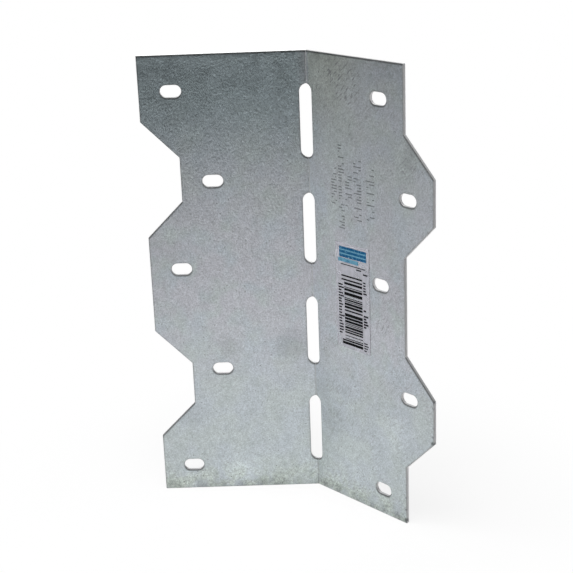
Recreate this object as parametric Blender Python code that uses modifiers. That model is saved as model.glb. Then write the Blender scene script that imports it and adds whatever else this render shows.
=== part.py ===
"""Angle bracket: one sheet of galvanised steel, blanked with zigzag free edges and folded along a row
of slots. It stands on its bottom end with the fold along +Z. The left leg lies in the XZ plane and
reaches towards -X, and the right leg turns forward from the fold, towards +X and -Y. The origin is at
the bottom end, where the middles of the two legs' thickness meet."""

import math

import bmesh
import bpy

# Sheet and fold
SHEET_THICKNESS = 0.0012
INSIDE_BEND_RADIUS = 0.0010
BEND_ANGLE = math.radians(46.8)
BEND_FACETS = 10
EDGE_BREAK = 0.00012

# Reach of a leg, from the centreline of the fold to its free edge, measured in the flat sheet
WIDE_REACH = 0.05715
NARROW_REACH = 0.0445

# Heights of the straight runs of the free edges, from the top end down, and of the slopes between them
TOP_TAB = 0.0227
UPPER_VALLEY = 0.0157
MIDDLE_TAB = 0.0349
LOWER_VALLEY = 0.0157
BOTTOM_TAB = 0.0217
SLOPE = 0.0128

# Nail holes: one in each run of each leg, lying across the leg. A drop is how far a hole's middle is
# below the upper end of its run
NAIL_HOLE_LENGTH = 0.00725
NAIL_HOLE_WIDTH = 0.0043
NAIL_HOLE_TO_EDGE = 0.0110
TOP_TAB_DROP = 0.0124
UPPER_VALLEY_DROP = 0.0086
MIDDLE_TAB_DROP = 0.01185
LOWER_VALLEY_DROP = 0.00235
BOTTOM_TAB_DROP = 0.01205

# Slots along the fold, and the bridges of sheet that they leave
SLOT_COUNT = 4
SLOT_WIDTH = 0.0052
SLOT_BRIDGE = 0.0126
TOP_BRIDGE = 0.01125
BOTTOM_BRIDGE = 0.01045
ARC_STEPS = 12

STEEL_COLOUR = (0.40, 0.42, 0.44, 1.0)
STEEL_ROUGHNESS = 0.45
WELD_DISTANCE = 1e-6


def clear_scene():
    for obj in list(bpy.data.objects):
        bpy.data.objects.remove(obj, do_unlink=True)


def galvanised_steel():
    material = bpy.data.materials.new("galvanised_steel")
    material.use_nodes = True
    shader = material.node_tree.nodes["Principled BSDF"]
    shader.inputs["Base Color"].default_value = STEEL_COLOUR
    shader.inputs["Metallic"].default_value = 1.0
    shader.inputs["Roughness"].default_value = STEEL_ROUGHNESS
    return material


def edge_runs():
    """The straight runs of the free edges from the top end down, as dictionaries of heights above the
    bottom end and of each leg's reach there. A tab of the left leg faces a valley of the right leg."""
    tabs = ((WIDE_REACH, NARROW_REACH), (NARROW_REACH, WIDE_REACH))
    sizes = (
        (TOP_TAB, TOP_TAB_DROP),
        (UPPER_VALLEY, UPPER_VALLEY_DROP),
        (MIDDLE_TAB, MIDDLE_TAB_DROP),
        (LOWER_VALLEY, LOWER_VALLEY_DROP),
        (BOTTOM_TAB, BOTTOM_TAB_DROP),
    )
    height = sum(size for size, drop in sizes) + SLOPE * (len(sizes) - 1)
    runs = []
    for index, (size, drop) in enumerate(sizes):
        left, right = tabs[index % 2]
        run = {"top": height, "bottom": height - size, "hole": height - drop, "left": left, "right": right}
        runs.append(run)
        height -= size + SLOPE
    return runs


def blank_outline(runs):
    """Corners of the flat sheet, down the left leg's free edge and back up the right leg's."""
    left = [(-run["left"], run[end]) for run in runs for end in ("top", "bottom")]
    right = [(run["right"], run[end]) for run in runs for end in ("top", "bottom")]
    left[-1] = (left[-1][0], 0.0)
    right[-1] = (right[-1][0], 0.0)
    return left + right[::-1]


def obround(across, up, length, width, upright=False):
    """Outline of a hole with two round ends, centred at (across, up). It lies across unless upright."""
    radius = width / 2
    points = []
    for end in (1, -1):
        for step in range(ARC_STEPS + 1):
            angle = math.pi * (step / ARC_STEPS - 0.5)
            along = end * ((length - width) / 2 + radius * math.cos(angle))
            beside = end * radius * math.sin(angle)
            points.append((across - beside, up + along) if upright else (across + along, up + beside))
    return points


def nail_holes(runs):
    """One hole on each leg for each run, a fixed distance in from the leg's own free edge."""
    holes = []
    for run in runs:
        for reach in (-run["left"], run["right"]):
            across = math.copysign(abs(reach) - NAIL_HOLE_TO_EDGE, reach)
            holes.append(obround(across, run["hole"], NAIL_HOLE_LENGTH, NAIL_HOLE_WIDTH))
    return holes


def bend_slots(total_height):
    """Slots centred on the fold, which share the height that the bridges leave."""
    bridges = TOP_BRIDGE + BOTTOM_BRIDGE + SLOT_BRIDGE * (SLOT_COUNT - 1)
    slot_length = (total_height - bridges) / SLOT_COUNT
    slots = []
    for index in range(SLOT_COUNT):
        top = total_height - TOP_BRIDGE - index * (slot_length + SLOT_BRIDGE)
        slots.append(obround(0.0, top - slot_length / 2, slot_length, SLOT_WIDTH, upright=True))
    return slots


def filled_outlines(name, outlines, half_depth, collection):
    """A mesh object of flat outlines in the XY plane, filled and given depth on both sides."""
    curve = bpy.data.curves.new(name, "CURVE")
    curve.dimensions = "2D"
    curve.fill_mode = "BOTH"
    curve.extrude = half_depth
    for outline in outlines:
        spline = curve.splines.new("POLY")
        spline.points.add(len(outline) - 1)
        for point, (across, up) in zip(spline.points, outline):
            point.co = (across, up, 0.0, 1.0)
        spline.use_cyclic_u = True
    source = bpy.data.objects.new(name, curve)
    collection.objects.link(source)
    mesh = bpy.data.meshes.new_from_object(source.evaluated_get(bpy.context.evaluated_depsgraph_get()))
    bpy.data.objects.remove(source)
    bpy.data.curves.remove(curve)
    welded = bmesh.new()
    welded.from_mesh(mesh)
    bmesh.ops.remove_doubles(welded, verts=welded.verts, dist=WELD_DISTANCE)
    bmesh.ops.dissolve_limit(welded, angle_limit=math.radians(1), verts=welded.verts, edges=welded.edges)
    bmesh.ops.recalc_face_normals(welded, faces=welded.faces)
    welded.to_mesh(mesh)
    welded.free()
    mesh.name = name
    obj = bpy.data.objects.new(name, mesh)
    collection.objects.link(obj)
    obj.hide_render = True
    obj.display_type = "WIRE"
    return obj


def half_arc():
    """Half of the sheet's middle length that goes round the bend."""
    return (INSIDE_BEND_RADIUS + SHEET_THICKNESS / 2) * BEND_ANGLE / 2


def score_bend(blank):
    """Divides the flat blank along the bend into narrow facets."""
    sheet = bmesh.new()
    sheet.from_mesh(blank.data)
    for index in range(BEND_FACETS + 1):
        line = (half_arc() * (2 * index / BEND_FACETS - 1), 0.0, 0.0)
        whole = sheet.verts[:] + sheet.edges[:] + sheet.faces[:]
        bmesh.ops.bisect_plane(sheet, geom=whole, dist=WELD_DISTANCE, plane_co=line, plane_no=(1, 0, 0))
    sheet.to_mesh(blank.data)
    sheet.free()


def punch(blank, cutter):
    cut = blank.modifiers.new("punch", "BOOLEAN")
    cut.operation = "DIFFERENCE"
    cut.object = cutter
    cut.solver = "EXACT"


def folded(across, up, front):
    """Where a point of the flat sheet goes when it is bent. Front is how far it is from the middle of the
    sheet towards the hollow side. The middle of the sheet keeps its length round the bend."""
    radius = INSIDE_BEND_RADIUS + SHEET_THICKNESS / 2
    turned = min(max((across + half_arc()) / radius, 0.0), BEND_ANGLE)
    before = min(across + half_arc(), 0.0)
    after = max(across - half_arc(), 0.0)
    start = -radius * math.tan(BEND_ANGLE / 2)
    x = start + before + (radius - front) * math.sin(turned) + after * math.cos(BEND_ANGLE)
    y = (radius - front) * math.cos(turned) - radius - after * math.sin(BEND_ANGLE)
    return x, y, up


def folded_sheet(blank, collection):
    """The bracket itself: the punched blank, bent."""
    punched = blank.evaluated_get(bpy.context.evaluated_depsgraph_get())
    mesh = bpy.data.meshes.new_from_object(punched)
    mesh.name = "angle_bracket"
    for vert in mesh.vertices:
        vert.co = folded(*vert.co)
    mesh.update()
    bracket = bpy.data.objects.new("angle_bracket", mesh)
    collection.objects.link(bracket)
    return bracket


def break_edges(obj):
    """Takes the sharpness off the sheared edges."""
    bevel = obj.modifiers.new("edge_break", "BEVEL")
    bevel.width = EDGE_BREAK
    bevel.segments = 1
    bevel.limit_method = "ANGLE"
    bevel.angle_limit = math.radians(50)


def new_collection(name):
    collection = bpy.data.collections.new(name)
    bpy.context.scene.collection.children.link(collection)
    return collection


def main():
    clear_scene()
    parts = new_collection("angle_bracket")
    cutters = new_collection("cutters")
    runs = edge_runs()
    blank = filled_outlines("flat_blank", [blank_outline(runs)], SHEET_THICKNESS / 2, cutters)
    holes = nail_holes(runs) + bend_slots(runs[0]["top"])
    punches = filled_outlines("punches", holes, SHEET_THICKNESS, cutters)
    score_bend(blank)
    punch(blank, punches)
    bracket = folded_sheet(blank, parts)
    bracket.data.materials.append(galvanised_steel())
    break_edges(bracket)
    bracket.data.shade_smooth()
    bracket.data.set_sharp_from_angle(angle=math.radians(30))


main()
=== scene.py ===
import math
import random

import bpy
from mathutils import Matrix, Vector


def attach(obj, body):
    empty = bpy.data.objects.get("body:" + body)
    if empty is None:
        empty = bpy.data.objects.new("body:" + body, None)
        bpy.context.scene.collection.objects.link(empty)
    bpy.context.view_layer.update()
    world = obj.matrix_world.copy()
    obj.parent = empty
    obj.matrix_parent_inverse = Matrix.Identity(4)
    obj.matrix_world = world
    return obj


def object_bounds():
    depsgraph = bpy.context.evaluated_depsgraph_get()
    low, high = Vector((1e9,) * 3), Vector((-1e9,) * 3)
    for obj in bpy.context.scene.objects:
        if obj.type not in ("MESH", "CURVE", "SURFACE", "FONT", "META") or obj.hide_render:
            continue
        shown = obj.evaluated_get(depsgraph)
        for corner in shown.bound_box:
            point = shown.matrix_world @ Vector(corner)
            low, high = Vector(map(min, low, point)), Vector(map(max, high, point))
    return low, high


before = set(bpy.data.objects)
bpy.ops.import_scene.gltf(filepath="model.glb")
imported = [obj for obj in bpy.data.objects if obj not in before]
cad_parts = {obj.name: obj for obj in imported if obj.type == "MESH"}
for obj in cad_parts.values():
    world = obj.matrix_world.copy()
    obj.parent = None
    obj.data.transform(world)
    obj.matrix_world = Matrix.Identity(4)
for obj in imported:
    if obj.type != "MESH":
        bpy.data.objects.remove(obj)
cadLow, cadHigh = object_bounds()
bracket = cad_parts["angle_bracket"]
print("frame loaded, bracket", [round(1000 * (high - low), 1) for low, high in zip(cadLow, cadHigh)], "mm")

bpy.context.scene.view_settings.view_transform = "Standard"

# the sheet, as the CAD frame has it
sheet = {
    "halfThickness": 0.0006,
    "bendDegrees": 46.8,  # how far the right leg is turned from the left leg's plane
}
bendAngle = math.radians(sheet["bendDegrees"])
upright = Vector((0, 0, 1))
leftFront = Vector((0, -1, 0))  # out of the left leg's face, towards the hollow side
rightAlong = Vector((math.cos(bendAngle), -math.sin(bendAngle), 0))  # along the right leg, away from the fold
rightFront = Vector((rightAlong.y, -rightAlong.x, 0))  # out of the right leg's face, towards the hollow side


def onLeg(along, height):
    # the middle of the sheet, at a distance from the fold that is minus on the left leg
    leg = rightAlong * along if along > 0 else Vector((along, 0, 0))
    return leg + upright * height


# camera, at the photograph's viewing angle
cameraFit = {
    "lens": 86.891,
    "sensor": 36.0,
    "place": (-0.00205, -0.46384, 0.23979),
    "turnDegrees": (70.770, 2.093, 0.187),
    "clipStart": 0.01,
}


def addCamera():
    turn = [math.radians(angle) for angle in cameraFit["turnDegrees"]]
    bpy.ops.object.camera_add(location=cameraFit["place"], rotation=turn)
    camera = bpy.context.object
    camera.name = "camera"
    camera.data.lens = cameraFit["lens"]
    camera.data.sensor_width = cameraFit["sensor"]
    camera.data.clip_start = cameraFit["clipStart"]
    bpy.context.scene.camera = camera


addCamera()
print("camera placed")


# node helpers
def newMaterial(name):
    material = bpy.data.materials.new(name)
    material.use_nodes = True
    material.node_tree.nodes.clear()
    return material, material.node_tree


def addNode(tree, kind, values=(), **settings):
    node = tree.nodes.new(kind)
    for name, value in settings.items():
        setattr(node, name, value)
    for socket, value in values:
        if isinstance(value, bpy.types.NodeSocket):
            tree.links.new(value, node.inputs[socket])
        else:
            node.inputs[socket].default_value = value
    return node


def toSurface(tree, shader):
    addNode(tree, "ShaderNodeOutputMaterial", [("Surface", shader.outputs[0])])


def calculate(tree, operation, first, second):
    return addNode(tree, "ShaderNodeMath", [(0, first), (1, second)], operation=operation).outputs[0]


def product(tree, *factors):
    result, *others = factors
    for factor in others:
        result = calculate(tree, "MULTIPLY", result, factor)
    return result


def ramp(tree, value, low, high, bottom=0.0, top=1.0):
    # eased from bottom, where the value is low, to top, where it is high
    settings = [("Value", value), ("From Min", low), ("From Max", high), ("To Min", bottom), ("To Max", top)]
    return addNode(tree, "ShaderNodeMapRange", settings, interpolation_type="SMOOTHSTEP").outputs[0]


def noise(tree, coords, size, detail=2.0, roughness=0.5, stretch=(1, 1, 1)):
    place = addNode(tree, "ShaderNodeMapping", [("Vector", coords), ("Scale", stretch)]).outputs[0]
    values = [("Vector", place), ("Scale", 1 / size), ("Detail", detail), ("Roughness", roughness)]
    return addNode(tree, "ShaderNodeTexNoise", values).outputs[0]


def measure(tree, operation, vector, fixed):
    # the dot product with a fixed vector, or the distance from one
    values = [(0, vector), (1, tuple(fixed))]
    return addNode(tree, "ShaderNodeVectorMath", values, operation=operation).outputs["Value"]


def scaled(tree, colour, factor):
    values = [(0, colour), ("Scale", factor)]
    return addNode(tree, "ShaderNodeVectorMath", values, operation="SCALE").outputs[0]


def mixNumbers(tree, factor, first, second):
    values = [(0, factor), (2, first), (3, second)]
    return addNode(tree, "ShaderNodeMix", values, data_type="FLOAT").outputs[0]


def blend(tree, factor, first, second):
    values = [(0, factor), (6, first), (7, second)]  # the Mix node's colours are its sockets 6 and 7
    return addNode(tree, "ShaderNodeMix", values, data_type="RGBA").outputs[2]


def openness(tree, reach, inside, values=(), samples=16):
    # how free of walls it is within reach of a point, inside the sheet or in front of it
    values = [("Distance", reach), *values]
    settings = {"inside": inside, "only_local": True, "samples": samples}
    return addNode(tree, "ShaderNodeAmbientOcclusion", values, **settings).outputs["AO"]


# zinc coat. Its fields are numbers that change over the sheet, such as across, height and the noises. Where
# a thing shows is a product of ramps, each with a field, two ends and, if not 0 and 1, its levels at them
zinc = {
    "noises": {  # size, detail, roughness and stretch
        "clouds": (0.0130, 2, 0.5),
        "drifts": (0.0091, 2, 0.5, (1, 1.3, 0.9)),
        "patches": (0.0055, 3, 0.6),
        "mottle": (0.0021, 3, 0.6),
        "pebbles": (0.0010, 2, 0.6),
        "grain": (0.0005, 2, 0.7),
        "streaks": (0.0060, 1, 0.5),
        "swells": (0.0015, 2, 0.6, (1.9, 1.9, 1)),
        "ripples": (0.00075, 2, 0.6, (1.9, 1.9, 1)),
    },
    "cellSize": 0.00105,
    "base": (0.474, 0.517, 0.521, 1),
    "tints": {  # laid over the base, one after another
        "cool": {
            "colour": (0.474, 0.514, 0.553, 1),
            "shows": (("clouds", 0.38, 0.62),),
        },
        "lavender": {
            "colour": (0.498, 0.508, 0.546, 1),
            "shows": (("drifts", 0.36, 0.60), ("height", 0.030, 0.075), ("height", 0.085, 0.130, 1.0, 0.35)),
        },
        "teal": {  # the left leg's upper part
            "colour": (0.408, 0.488, 0.512, 1),
            "shows": (("height", 0.115, 0.150, 0.0, 0.85), ("across", -0.004, 0.001, 1.0, 0.0)),
        },
        "moss": {  # the right leg's upper part, beside the fold
            "colour": (0.515, 0.545, 0.490, 1),
            "shows": (
                ("height", 0.132, 0.158, 0.0, 0.75),
                ("across", 0.0, 0.001),
                ("across", 0.005, 0.024, 1.0, 0.0),
            ),
        },
        "green": {  # both legs' lower part
            "colour": (0.474, 0.517, 0.521, 1),
            "shows": (("height", 0.020, 0.060, 0.35, 0.0),),
        },
    },
    "olive": (0.466, 0.512, 0.476, 1),
    "foot": (("height", 0.0, 0.015, 1.0, 0.0), ("patches", 0.35, 0.60)),  # the mottled, yellowish foot
    "footCurdle": (0.30, 0.70, 0.84, 1.16),  # a ramp of the pebbles that breaks its tone up
    "swingEnds": (0.2, 0.8),
    "swings": {"grain": 0.20, "pebbles": 0.07, "mottle": 0.06, "patches": 0.05},  # of the tone, up and down
    "foldLightLevels": (1.085, 0.945),  # painted light: the right leg is paler at the fold than at its free edge
    "foldReach": 0.030,
    "tones": {
        "paleBand": {  # the left leg at two thirds of its height
            "level": 1.045,
            "shows": (
                ("height", 0.080, 0.105),
                ("height", 0.120, 0.140, 1.0, 0.0),
                ("across", 0.0, 0.015, 1.0, 0.0),
            ),
        },
        "dullBand": {  # and the right leg there
            "level": 0.925,
            "shows": (
                ("height", 0.065, 0.080),
                ("height", 0.130, 0.150, 1.0, 0.0),
                ("across", 0.0, 0.015),
                ("across", 0.030, 0.045, 1.0, 0.3),
            ),
        },
        "farSide": {  # the left leg towards its free edge
            "level": 0.86,
            "shows": (("across", -0.056, -0.026, 1.0, 0.0), ("height", 0.02, 0.14)),
        },
        "footShadeLine": {  # painted shade: the broken darker line above the bottom end, where the sheet meets the floor
            "level": 0.78,
            "shows": (("height", 0.0012, 0.0050, 1.0, 0.0), ("streaks", 0.35, 0.60)),
        },
        "topHighlightLine": {  # painted highlight: the pale line below the left leg's top end
            "level": 1.16,
            "shows": (
                ("height", 0.1570, 0.1596),
                ("height", 0.1602, 0.1612, 1.0, 0.0),
                ("across", -0.003, 0.0, 1.0, 0.0),
            ),
        },
    },
    "broadPatches": (  # distance along a leg, minus on the left one, height, reach and tone
        (-0.0083, 0.0563, 0.0085, 0.84),
        (-0.0279, 0.0062, 0.0090, 1.14),
        (-0.0390, 0.1463, 0.0080, 0.91),
        (-0.0455, 0.0300, 0.0070, 0.91),
        (-0.0310, 0.0560, 0.0060, 0.90),
        (-0.0510, 0.1000, 0.0070, 1.08),
        (0.0060, 0.1550, 0.0075, 1.16),
        (0.0389, 0.0339, 0.0100, 1.12),
        (0.0478, 0.1348, 0.0032, 0.82),
        (0.0466, 0.1300, 0.0036, 0.84),
        (0.0088, 0.0291, 0.0070, 0.90),
    ),
    "patchCore": 0.25,  # the share of its reach over which a patch has its full tone
    "pit": (0.20, 0.21, 0.20, 1),
    "pitKinds": (0.62, 0.95, 0.0, 0.80),  # a ramp over the cells' random kinds: how strong a cell's pit is
    "pitMottle": (0.40, 0.65, 0.35, 1.0),
    "fleck": (0.64, 0.67, 0.69, 1),
    "fleckKinds": (0.70, 0.95, 0.0, 0.22),
    "cellCore": (0.12, 0.34, 1.0, 0.0),
    "relief": {"swells": 0.000038, "ripples": 0.000038, "cells": 0.000013},
    "roughness": (0.30, 0.70, 0.28, 0.36),  # a ramp of the patches
}


def shownWhere(tree, fields, ramps):
    return product(tree, *[ramp(tree, fields[name], *ends) for name, *ends in ramps])


def alongThickness(tree, fields, vector):
    # a vector's part along its own leg's thickness, positive towards the hollow side
    left, right = [measure(tree, "DOT_PRODUCT", vector, front) for front in (leftFront, rightFront)]
    return mixNumbers(tree, fields["onRight"], left, right)


def zincFields(tree):
    coords = addNode(tree, "ShaderNodeTexCoord").outputs["Object"]
    normal = addNode(tree, "ShaderNodeNewGeometry").outputs["True Normal"]
    place = addNode(tree, "ShaderNodeSeparateXYZ", [(0, coords)]).outputs
    cellValues = [("Vector", coords), ("Scale", 1 / zinc["cellSize"])]
    cells = addNode(tree, "ShaderNodeTexVoronoi", cellValues).outputs
    fields = {name: noise(tree, coords, *values) for name, values in zinc["noises"].items()}
    fields.update(coords=coords, across=place[0], height=place[2], cells=cells["Distance"])
    fields["foot"] = shownWhere(tree, fields, zinc["foot"])
    fields["kinds"] = addNode(tree, "ShaderNodeSeparateColor", [(0, cells["Color"])]).outputs
    fields["onRight"] = calculate(tree, "GREATER_THAN", place[0], 0.0)
    fields["depth"] = alongThickness(tree, fields, coords)
    fields["facing"] = calculate(tree, "ABSOLUTE", alongThickness(tree, fields, normal), 0.0)
    fields["upward"] = addNode(tree, "ShaderNodeSeparateXYZ", [(0, normal)]).outputs[2]
    return fields


def zincColour(tree, fields):
    colour = zinc["base"]
    for tint in zinc["tints"].values():
        colour = blend(tree, shownWhere(tree, fields, tint["shows"]), colour, tint["colour"])
    return blend(tree, fields["foot"], colour, zinc["olive"])


def swing(tree, fields, name):
    most = zinc["swings"][name]
    return ramp(tree, fields[name], *zinc["swingEnds"], 1 - most, 1 + most)


def zincTone(tree, fields):
    tones = [swing(tree, fields, name) for name in zinc["swings"]]
    tones.append(mixNumbers(tree, fields["foot"], 1.0, ramp(tree, fields["pebbles"], *zinc["footCurdle"])))
    # painted light on the right leg, brightest at the fold
    fold = ramp(tree, fields["across"], 0.0, zinc["foldReach"], *zinc["foldLightLevels"])
    tones.append(mixNumbers(tree, fields["onRight"], 1.0, fold))
    # of these tones, the pale top line is a painted highlight and the line above the foot is painted shade
    for tone in zinc["tones"].values():
        tones.append(mixNumbers(tree, shownWhere(tree, fields, tone["shows"]), 1.0, tone["level"]))
    for along, height, reach, level in zinc["broadPatches"]:
        distance = measure(tree, "DISTANCE", fields["coords"], onLeg(along, height))
        tones.append(ramp(tree, distance, zinc["patchCore"] * reach, reach, level, 1.0))
    return product(tree, *tones)


def addGrains(tree, fields, colour):
    # dark pits and pale flecks in the middles of some of the zinc's cells
    core = ramp(tree, fields["cells"], *zinc["cellCore"])
    rough = calculate(tree, "ADD", fields["foot"], ramp(tree, fields["mottle"], *zinc["pitMottle"]))
    pits = product(tree, core, rough, ramp(tree, fields["kinds"][0], *zinc["pitKinds"]))
    flecks = product(tree, core, ramp(tree, fields["kinds"][1], *zinc["fleckKinds"]))
    return blend(tree, flecks, blend(tree, pits, colour, zinc["pit"]), zinc["fleck"])


def zincRelief(tree, fields):
    under = []
    for name, height in zinc["relief"].items():
        values = [("Height", fields[name]), ("Distance", height), *under]
        bump = addNode(tree, "ShaderNodeBump", values).outputs[0]
        under = [("Normal", bump)]
    return bump


# scuffs: short slanting marks in loose groups, in the right leg's own plane
scuffs = {
    "colour": (0.27, 0.28, 0.29, 1),
    "size": (0.0006, 0.0026),  # across and along a mark
    "markEnds": (0.54, 0.68),
    "groups": (  # distance along the leg, height and reach
        (0.0170, 0.1530, 0.0120),
        (0.0472, 0.1285, 0.0062),
        (0.0350, 0.0720, 0.0050),
    ),
    "groupCore": 0.5,  # the share of its reach over which a group is full
    "groupShare": 0.8,
    "strays": (0.012, 1, 0.5),  # a noise, for the fainter marks elsewhere
    "strayRamp": (0.47, 0.58, 0.0, 0.4),
    "fromFold": (0.0, 0.004),
}


def addScuffs(tree, fields, colour):
    coords = fields["coords"]
    directions = [(rightAlong + upright * side).normalized() for side in (-1, 1)]
    turned = [
        calculate(tree, "DIVIDE", measure(tree, "DOT_PRODUCT", coords, direction), size)
        for direction, size in zip(directions, scuffs["size"])
    ]
    place = addNode(tree, "ShaderNodeCombineXYZ", enumerate(turned)).outputs[0]  # counted in marks
    marks = noise(tree, place, 1.0, 1)
    spread = ramp(tree, noise(tree, coords, *scuffs["strays"]), *scuffs["strayRamp"])
    for along, height, reach in scuffs["groups"]:
        distance = measure(tree, "DISTANCE", coords, onLeg(along, height))
        group = ramp(tree, distance, scuffs["groupCore"] * reach, reach, scuffs["groupShare"], 0.0)
        spread = calculate(tree, "MAXIMUM", spread, group)
    edge = ramp(tree, fields["across"], *scuffs["fromFold"])
    found = product(tree, ramp(tree, marks, *scuffs["markEnds"]), spread, edge)
    return blend(tree, found, colour, scuffs["colour"])


# edges and bend. A point's facing is 1 on the two faces of its leg and 0 on the cut faces round them
edges = {
    "edgeShadeColour": (0.13, 0.14, 0.14, 1),
    "nearReach": 0.0008,
    "edgeShadeRamp": (0.50, 0.98, 0.34, 0.0),  # painted shade: how dark the sheet is beside every edge
    "rolledShadeEnds": (0.60, 0.95),
    "rolledShadeShare": 0.85,  # and how much painted shade lies below the edges that look up
    "bendShadeRamp": (0.985, 0.9985, 0.84, 1.0),  # painted shade: the bend is darker
    "cutRamp": (0.75, 0.88, 1.0, 0.0),
    "cutColour": (0.645, 0.650, 0.656),
    "tornRamp": (0.0001, 0.0003, 1.0, 0.8),  # burnished towards the back, torn towards the front
    "slopeEnds": (0.1, 0.6),  # how far up a cut face looks, from a side to a slope
    # painted shade: a cut face that slopes up is darker, against the light from above
    "slopeShadeLevels": (1.0, 0.55),
    "topEnds": (0.85, 0.95),
    "topHighlightLevels": (2.0, 0.9),  # of the top end, on the left and the right leg: a painted highlight on the left leg's top end
    "punchedLightLevels": (1.45, 0.85),  # painted light on the walls of holes and slots, from a side to one that looks up
    "punchedReach": 0.006,
    "punchedRamp": (0.86, 0.97, 1.0, 0.0),
    "cutMetal": 0.15,
    "cutRoughness": 0.6,
    "cornerEnds": (0.3, 0.5),  # the broken corner between a cut face and the leg's face
    "cornerLook": (0.1, 0.4),
    "cornerShadeColours": ((0.44, 0.44, 0.44, 1), (0.07, 0.07, 0.07, 1)),  # at a side and at a slope, the near black there being painted shade
}


# painted shade: a dark line beside every edge, stronger below the edges that look up
def paintShadeNearEdges(tree, colour, rolledShadeShare):
    near = openness(tree, edges["nearReach"], True)
    colour = blend(tree, ramp(tree, near, *edges["edgeShadeRamp"]), colour, edges["edgeShadeColour"])
    down = addNode(tree, "ShaderNodeCombineXYZ", [(2, -1.0)]).outputs[0]  # seen from inside, this looks up
    below = openness(tree, edges["nearReach"], True, [("Normal", down)])
    return blend(tree, ramp(tree, below, *edges["rolledShadeEnds"], rolledShadeShare, 0.0), colour, edges["edgeShadeColour"])


def addCutFaces(tree, fields, colour, cut):
    upward = fields["upward"]
    # painted light: cut faces are darker where they slope up, and the left leg's top end is brighter
    top = mixNumbers(tree, fields["onRight"], *edges["topHighlightLevels"])
    slope = ramp(tree, upward, *edges["slopeEnds"], *edges["slopeShadeLevels"])
    level = mixNumbers(tree, ramp(tree, upward, *edges["topEnds"]), slope, top)
    # painted light: the walls inside holes and slots are made paler
    punched = ramp(tree, openness(tree, edges["punchedReach"], False), *edges["punchedRamp"])
    wall = ramp(tree, upward, *edges["slopeEnds"], *edges["punchedLightLevels"])
    level = mixNumbers(tree, punched, level, wall)
    torn = ramp(tree, fields["depth"], *edges["tornRamp"])
    face = scaled(tree, edges["cutColour"], product(tree, swing(tree, fields, "mottle"), torn, level))
    colour = blend(tree, cut, colour, face)
    # the broken corner is real; its near black where it slopes is painted shade
    broken = product(tree, cut, ramp(tree, fields["facing"], *edges["cornerEnds"]))
    corner = blend(tree, ramp(tree, upward, *edges["cornerLook"]), *edges["cornerShadeColours"])
    return blend(tree, broken, colour, corner)


# dirt at the right leg's lower corners and along its foot
dirt = {
    "colour": (0.13, 0.14, 0.14, 1),
    "spots": (  # distance along the leg, height, reach and strength
        (0.0567, 0.0347, 0.0012, 1.0),
        (0.0573, 0.0502, 0.0010, 0.9),
        (0.0568, 0.0478, 0.0007, 0.7),
        (0.0567, 0.0372, 0.0006, 0.7),
        (0.0567, 0.0405, 0.0005, 0.6),
        (0.0443, 0.0012, 0.0013, 0.9),
        (0.0442, 0.0055, 0.0009, 0.6),
        (0.0442, 0.0100, 0.0007, 0.6),
        (0.0442, 0.0150, 0.0006, 0.5),
        (0.0400, 0.0016, 0.0020, 0.45),
        (0.0345, 0.0020, 0.0024, 0.40),
        (0.0280, 0.0013, 0.0016, 0.35),
        (0.0110, 0.0018, 0.0020, 0.40),
        (0.0040, 0.0018, 0.0020, 0.45),
    ),
    "core": 0.3,  # the share of its reach over which a spot is full
    "crumbs": (0.0007, 1, 0.5),  # a noise that breaks the spots up
    "crumbEnds": (0.30, 0.50),
}


def addDirt(tree, fields, colour):
    found = 0.0
    for along, height, reach, strength in dirt["spots"]:
        spot = onLeg(along, height) + rightFront * sheet["halfThickness"]
        distance = measure(tree, "DISTANCE", fields["coords"], spot)
        near = ramp(tree, distance, dirt["core"] * reach, reach, strength, 0.0)
        found = calculate(tree, "MAXIMUM", found, near)
    crumbs = ramp(tree, noise(tree, fields["coords"], *dirt["crumbs"]), *dirt["crumbEnds"])
    return blend(tree, product(tree, found, crumbs), colour, dirt["colour"])


def galvanisedSteel(name="galvanisedSteel", level=1.0, rolledShadeShare=edges["rolledShadeShare"]):
    material, tree = newMaterial(name)
    fields = zincFields(tree)
    colour = scaled(tree, zincColour(tree, fields), product(tree, level, zincTone(tree, fields)))
    colour = addScuffs(tree, fields, colour)
    colour = addGrains(tree, fields, colour)
    colour = paintShadeNearEdges(tree, colour, rolledShadeShare)
    # painted shade on the bend's facets, darker than the flat faces
    colour = scaled(tree, colour, ramp(tree, fields["facing"], *edges["bendShadeRamp"]))
    cut = ramp(tree, fields["facing"], *edges["cutRamp"])
    colour = addCutFaces(tree, fields, colour, cut)
    colour = addDirt(tree, fields, colour)
    roughness = ramp(tree, fields["patches"], *zinc["roughness"])
    cutRoughness = ramp(tree, cut, 0.0, 1.0, 0.0, edges["cutRoughness"])
    shader = addNode(tree, "ShaderNodeBsdfPrincipled", [
        ("Base Color", colour),
        ("Metallic", ramp(tree, cut, 0.0, 1.0, 1.0, edges["cutMetal"])),
        ("Roughness", calculate(tree, "MAXIMUM", roughness, cutRoughness)),
        ("Normal", zincRelief(tree, fields)),
    ])
    toSurface(tree, shader)
    return material


steel = galvanisedSteel()
for slot in bracket.material_slots:
    slot.material = steel
print("galvanised steel on the bracket")


# thin pieces, made in the right leg's own frame: x along it from the fold, y back through it and z up
slabs = {
    "bevelSegments": 2,
    "nearness": 1e-6,  # how close to the front face an edge has to be to count as its own
}


def deselectAll():
    bpy.ops.object.select_all(action="DESELECT")


def makeActive(piece):
    deselectAll()
    piece.select_set(True)
    bpy.context.view_layer.objects.active = piece


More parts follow.
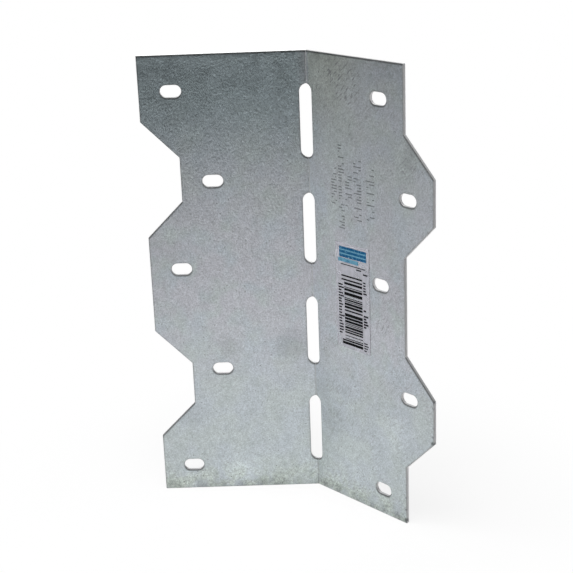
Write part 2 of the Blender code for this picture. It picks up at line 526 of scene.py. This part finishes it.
def addSlab(name, box, back, front, rounding):
    # a thin slab on the leg's front face, from back to front above it, with its front corners broken
    left, right, low, high = box
    place = ((left + right) / 2, -sheet["halfThickness"] - (back + front) / 2, (low + high) / 2)
    deselectAll()
    bpy.ops.mesh.primitive_cube_add(size=1, location=place, scale=(right - left, front - back, high - low))
    slab = bpy.context.object
    slab.name = name
    bpy.ops.object.transform_apply(location=True, rotation=True, scale=True)
    bpy.ops.object.mode_set(mode="EDIT")
    bpy.ops.mesh.select_all(action="DESELECT")
    bpy.ops.object.mode_set(mode="OBJECT")
    face = place[1] - (front - back) / 2
    for edge in slab.data.edges:
        ends = [slab.data.vertices[index].co.y for index in edge.vertices]
        edge.select = all(abs(end - face) < slabs["nearness"] for end in ends)
    bpy.ops.object.mode_set(mode="EDIT")
    bpy.ops.mesh.select_mode(type="EDGE")
    bpy.ops.mesh.bevel(offset=rounding, segments=slabs["bevelSegments"])
    bpy.ops.object.mode_set(mode="OBJECT")
    return slab


def copyStretched(source, name, left, right, low, high):
    # a copy with its own mesh, set to another place and size on the leg's face
    piece = source.copy()
    piece.data = source.data.copy()
    piece.name = name
    bpy.context.collection.objects.link(piece)
    corners = [vertex.co for vertex in source.data.vertices]
    lows = [min(corner[axis] for corner in corners) for axis in (0, 2)]
    highs = [max(corner[axis] for corner in corners) for axis in (0, 2)]
    for vertex in piece.data.vertices:
        across = (vertex.co.x - lows[0]) / (highs[0] - lows[0])
        up = (vertex.co.z - lows[1]) / (highs[1] - lows[1])
        vertex.co.x = left + across * (right - left)
        vertex.co.z = low + up * (high - low)
    return piece


def joinPieces(pieces, name):
    makeActive(pieces[0])
    for piece in pieces:
        piece.select_set(True)
    bpy.ops.object.join()
    joined = bpy.context.object
    joined.name = name
    return joined


def dress(piece, material):
    # sets a piece on the right leg, with its material
    piece.data.materials.clear()
    piece.data.materials.append(material)
    makeActive(piece)
    piece.rotation_euler.z = -bendAngle
    bpy.ops.object.transform_apply(location=True, rotation=True, scale=True)
    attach(piece, "root")


# stick-on label: a clear film with plain print. Its boxes are from, to, low and high on the leg
film = {
    "box": (0.0123, 0.0286, 0.0590, 0.0975),
    "back": 0.00001, "front": 0.00004, "rounding": 0.000008,
    "colour": (0.80, 0.795, 0.865, 1),
    "alpha": (0.30, 0.70, 0.26, 0.36),  # a ramp of the creases
    "roughness": 0.35,
    "creases": (0.004, 3, 0.6),  # a noise
    "creaseHeight": 0.00006,
    "rimShadowColour": (0.42, 0.42, 0.44, 1),
    "rimShadowAlpha": 0.30,
    "rimInsets": (0.0005, 0.0002),  # in from the right edge: where the rim, the film's edge with a painted shadow, starts and where it is full
}
ink = {
    "front": 0.00005, "rounding": 0.000003,
    "specks": (0.0007, 3, 0.7),  # a noise
    "roughness": (0.30, 0.70, 0.50, 0.65),  # a ramp of the specks
    "specular": 0.05,
    "black": (0.004, 0.004, 0.005, 1),
    "wornBlack": (0.05, 0.052, 0.058, 1),
    "blue": (0.010, 0.095, 0.225, 1),
    "paleBlue": (0.150, 0.360, 0.500, 1),
    "kinds": {  # colour, colour where it is worn, and the ends of the wear's ramp of the specks
        "darkInk": ("black", "wornBlack", 0.62, 0.86),
        "thinInk": ("black", "wornBlack", 0.46, 0.70),
        "blueInk": ("blue", "paleBlue", 0.48, 0.72),
        "paleBlueInk": ("paleBlue", "blue", 0.50, 0.74),
    },
}
bands = {
    "blueBands": (
        (0.0142, 0.0270, 0.0953, 0.0962),
        (0.0142, 0.0270, 0.0939, 0.0948),
        (0.0142, 0.0270, 0.0924, 0.0934),
    ),
    "paleBands": (
        (0.0142, 0.0270, 0.0948, 0.0953),
        (0.0142, 0.0270, 0.0934, 0.0939),
        (0.0136, 0.0232, 0.0907, 0.0921),
    ),
}
bars = {
    "top": 0.0860, "bottom": 0.0604,
    "left": 0.0163, "longLeft": 0.0150, "right": 0.0249,
    "module": 0.00028,
    "widths": (1, 1, 1, 2, 3, 4),  # modules that a bar may have
    "gaps": (1, 1, 1, 2, 3),  # and a gap
    "longCount": 2,  # bars at each end that reach further left
    "rule": (0.0148, 0.0265, 0.08970, 0.09000),  # the thin line above them
}
dashes = {
    "rows": (  # from, to, top, bottom, pitch and how much of the pitch is inked
        (0.0135, 0.0161, 0.0825, 0.0638, 0.00105, 0.50),  # left of the bars
        (0.0254, 0.0275, 0.0882, 0.0800, 0.00098, 0.54),  # right of them, from the top down
        (0.0254, 0.0276, 0.0762, 0.0681, 0.00100, 0.66),
        (0.0254, 0.0275, 0.0640, 0.0583, 0.00090, 0.52),
        (0.0222, 0.0266, 0.0892, 0.0877, 0.00070, 0.60),  # above them
    ),
    "missing": 0.12,
    "lengths": (0.55, 0.8, 1.0),  # shares of a row's width
}
label = {
    "patch": (0, 0.001, 0, 0.001),  # the piece of print that the others are copied from
    "seed": 11,
}


def filmMaterial():
    material, tree = newMaterial("clearFilm")
    coords = addNode(tree, "ShaderNodeTexCoord").outputs["Object"]
    creases = noise(tree, coords, *film["creases"])
    # the film's right edge, drawn as a darker rim: the edge is real, its darkness is painted shadow
    rimEnds = [film["box"][1] - inset for inset in film["rimInsets"]]
    rim = ramp(tree, measure(tree, "DOT_PRODUCT", coords, rightAlong), *rimEnds)
    alpha = ramp(tree, creases, *film["alpha"])
    bump = addNode(tree, "ShaderNodeBump", [("Height", creases), ("Distance", film["creaseHeight"])])
    shader = addNode(tree, "ShaderNodeBsdfPrincipled", [
        ("Base Color", blend(tree, rim, film["colour"], film["rimShadowColour"])),
        ("Alpha", calculate(tree, "MAXIMUM", alpha, product(tree, rim, film["rimShadowAlpha"]))),
        ("Roughness", film["roughness"]),
        ("Normal", bump.outputs[0]),
    ])
    toSurface(tree, shader)
    return material


def inkMaterial(name):
    fresh, worn, *wearEnds = ink["kinds"][name]
    material, tree = newMaterial(name)
    coords = addNode(tree, "ShaderNodeTexCoord").outputs["Object"]
    specks = noise(tree, coords, *ink["specks"])
    shader = addNode(tree, "ShaderNodeBsdfPrincipled", [
        ("Base Color", blend(tree, ramp(tree, specks, *wearEnds), ink[fresh], ink[worn])),
        ("Roughness", ramp(tree, specks, *ink["roughness"])),
        ("Specular IOR Level", ink["specular"]),
    ])
    toSurface(tree, shader)
    return material


def addFilm():
    labelFilm = addSlab("labelFilm", film["box"], film["back"], film["front"], film["rounding"])
    dress(labelFilm, filmMaterial())


def addBands(patch, boxes, name, inkName):
    pieces = [copyStretched(patch, "band", *box) for box in boxes]
    dress(joinPieces(pieces, name), inkMaterial(inkName))


def addBars(patch, dice):
    # bars and gaps of random widths, from the top down
    spots = []
    top = bars["top"]
    while top > bars["bottom"] + bars["module"]:
        height = bars["module"] * dice.choice(bars["widths"])
        spots.append((max(top - height, bars["bottom"]), top))
        top -= height + bars["module"] * dice.choice(bars["gaps"])
    pieces = []
    for index, spot in enumerate(spots):
        outer = index < bars["longCount"] or index >= len(spots) - bars["longCount"]
        left = bars["longLeft"] if outer else bars["left"]
        pieces.append(copyStretched(patch, "bar", left, bars["right"], *spot))
    pieces.append(copyStretched(patch, "rule", *bars["rule"]))
    dress(joinPieces(pieces, "labelBars"), inkMaterial("darkInk"))


def addDashes(patch, dice):
    pieces = []
    for left, right, top, bottom, pitch, inked in dashes["rows"]:
        for step in range(round((top - bottom) / pitch)):
            if dice.random() < dashes["missing"]:
                continue
            high = top - step * pitch
            width = (right - left) * dice.choice(dashes["lengths"])
            pieces.append(copyStretched(patch, "dash", left, left + width, high - pitch * inked, high))
    dress(joinPieces(pieces, "labelDashes"), inkMaterial("thinInk"))


def addLabel():
    addFilm()
    patch = addSlab("printPatch", label["patch"], film["front"], ink["front"], ink["rounding"])
    dice = random.Random(label["seed"])
    addBands(patch, bands["blueBands"], "labelBlock", "blueInk")
    addBands(patch, bands["paleBands"], "labelPaleBlock", "paleBlueInk")
    addBars(patch, dice)
    addDashes(patch, dice)
    bpy.data.objects.remove(patch)


addLabel()
print("label on the right leg")

# stamped ticks above the label, where the sheet was marked in the press
stamp = {
    "stroke": (0, 0.0025, 0, 0.00038),  # the tick that the others are copied from
    "back": -0.00001, "front": 0.00005, "rounding": 0.00004,
    "pitch": 0.00205,
    "columns": (  # from, to, low, high
        (0.0113, 0.0138, 0.1100, 0.1235),
        (0.0147, 0.0173, 0.1010, 0.1317),
        (0.0178, 0.0210, 0.1095, 0.1215),
        (0.0218, 0.0253, 0.1055, 0.1275),
        (0.0277, 0.0313, 0.1070, 0.1255),
    ),
    "spans": ((0, 1), (0, 0.6), (0.4, 1), (0, 0.3), (0.7, 1)),  # shares of a column's width
    "missing": 0.4,  # of the ticks halfway between two others
    "seed": 5,
    "shade": 0.86,  # painted shade: the pressed marks are darker than the sheet, as their grooves would be in shade
    "rolledShadeShare": 0.40,
}


def addStamp():
    dice = random.Random(stamp["seed"])
    stroke = addSlab("stroke", stamp["stroke"], stamp["back"], stamp["front"], stamp["rounding"])
    thick = stamp["stroke"][3]
    pieces = []
    for left, right, low, high in stamp["columns"]:
        width = right - left
        for step in range(round((high - low) / stamp["pitch"])):
            for drop in (0, 0.5 * stamp["pitch"]):
                if drop and dice.random() < stamp["missing"]:
                    continue
                start, end = [left + share * width for share in dice.choice(stamp["spans"])]
                top = high - step * stamp["pitch"] - drop
                pieces.append(copyStretched(stroke, "tick", start, end, top - thick, top))
    bpy.data.objects.remove(stroke)
    # the ticks are real marks; their darker tone and stronger edge darkening are painted shade of the pressed
    # grooves
    shadedPressedSteel = galvanisedSteel("shadedPressedSteel", stamp["shade"], stamp["rolledShadeShare"])
    dress(joinPieces(pieces, "stampedTicks"), shadedPressedSteel)


addStamp()
print("stamped ticks on the right leg")

# studio
studio = {
    "floorSize": 8.0,
    "floorGap": 0.00005,
    "floorColour": (0.86, 0.86, 0.86, 1),
    "standing": (-0.01, -0.02, 0),
    "cameraLift": (0.05, 0.14, 0.86, 1.0),  # how white the floor is to the camera, going out from there
    "mirrorLift": (0.02, 0.35),  # and to mirror rays, going back
    "worldColour": (0.90, 0.95, 1.0, 1),
    "worldStrength": 0.02,
    "lampSize": 0.30,
    "lamps": {  # place and power; all point straight down
        "topLamp": ((-0.05, -0.18, 0.55), 2.75),
        "leftLamp": ((-0.50, 0.05, 0.60), 2.4),
        "rightLamp": ((0.35, -0.12, 0.40), 0.25),
        "backLamp": ((0.10, 0.35, 0.70), 0.55),
    },
}


def paleFloor():
    material, tree = newMaterial("paleFloor")
    rays = addNode(tree, "ShaderNodeLightPath").outputs
    coords = addNode(tree, "ShaderNodeTexCoord").outputs["Object"]
    outwards = measure(tree, "DISTANCE", coords, studio["standing"])
    backwards = addNode(tree, "ShaderNodeSeparateXYZ", [(0, coords)]).outputs[1]
    seen = product(tree, rays["Is Camera Ray"], ramp(tree, outwards, *studio["cameraLift"]))
    mirrored = calculate(tree, "MAXIMUM", rays["Is Glossy Ray"], rays["Is Transmission Ray"])
    mirrored = product(tree, mirrored, ramp(tree, backwards, *studio["mirrorLift"]))
    matt = addNode(tree, "ShaderNodeBsdfDiffuse", [("Color", studio["floorColour"])])
    white = addNode(tree, "ShaderNodeEmission", [("Strength", 1.0)])
    share = calculate(tree, "MAXIMUM", seen, mirrored)
    values = [(0, share), (1, matt.outputs[0]), (2, white.outputs[0])]
    toSurface(tree, addNode(tree, "ShaderNodeMixShader", values))
    return material


def addFloor():
    deselectAll()
    bpy.ops.mesh.primitive_plane_add(size=studio["floorSize"], location=(0, 0, cadLow.z - studio["floorGap"]))
    floor = bpy.context.object
    floor.name = "studioFloor"
    floor.data.materials.append(paleFloor())


def addLamps():
    for name, (place, power) in studio["lamps"].items():
        deselectAll()
        bpy.ops.object.light_add(type="AREA", location=place)
        light = bpy.context.object
        light.name = name
        light.data.size = studio["lampSize"]
        light.data.energy = power


def addWorld():
    world = bpy.data.worlds.new("studioWorld")
    world.use_nodes = True
    tree = world.node_tree
    seen = addNode(tree, "ShaderNodeLightPath").outputs["Is Camera Ray"]
    values = [("Color", studio["worldColour"]), ("Strength", studio["worldStrength"])]
    soft = addNode(tree, "ShaderNodeBackground", values)
    white = addNode(tree, "ShaderNodeBackground", [("Color", (1, 1, 1, 1)), ("Strength", 1.0)])
    mix = addNode(tree, "ShaderNodeMixShader", [(0, seen), (1, soft.outputs[0]), (2, white.outputs[0])])
    tree.links.new(mix.outputs[0], tree.nodes["World Output"].inputs[0])
    bpy.context.scene.world = world


addFloor()
addLamps()
addWorld()
print("studio lit")
